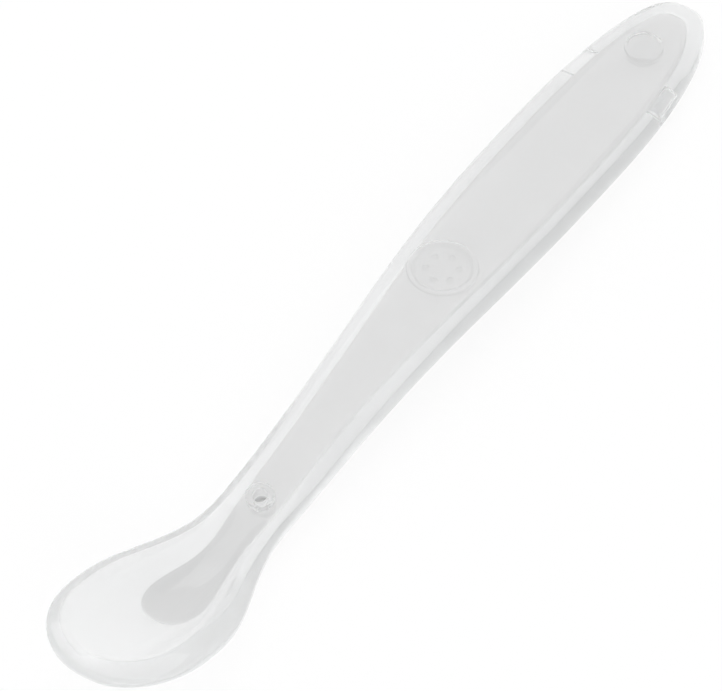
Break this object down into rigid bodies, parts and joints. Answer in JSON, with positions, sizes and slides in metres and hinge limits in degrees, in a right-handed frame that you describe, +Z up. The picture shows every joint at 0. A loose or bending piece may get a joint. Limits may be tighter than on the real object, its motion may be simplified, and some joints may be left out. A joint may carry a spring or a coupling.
{
  "type": "baby spoon",
  "caption": "Soft-tipped feeding spoon: clear silicone bowl and handle with a thumb disc, moulded over a stiff white core strip.",
  "frame": {"origin": "on the resting surface, below the middle of the spoon's length and width", "axes": "+X from the bowl tip to the handle end, +Z up out of the bowl, Y = 0 the plane of symmetry"},
  "size_m": [0.15, 0.0226, 0.0128],
  "materials": {
    "clear_silicone": "clear, glossy, soft moulded silicone",
    "white_core": "opaque white moulded nylon, satin"
  },
  "bodies": {
    "root": {"silicone_body": "clear_silicone", "core_strip": "white_core"}
  },
  "joints": []
}
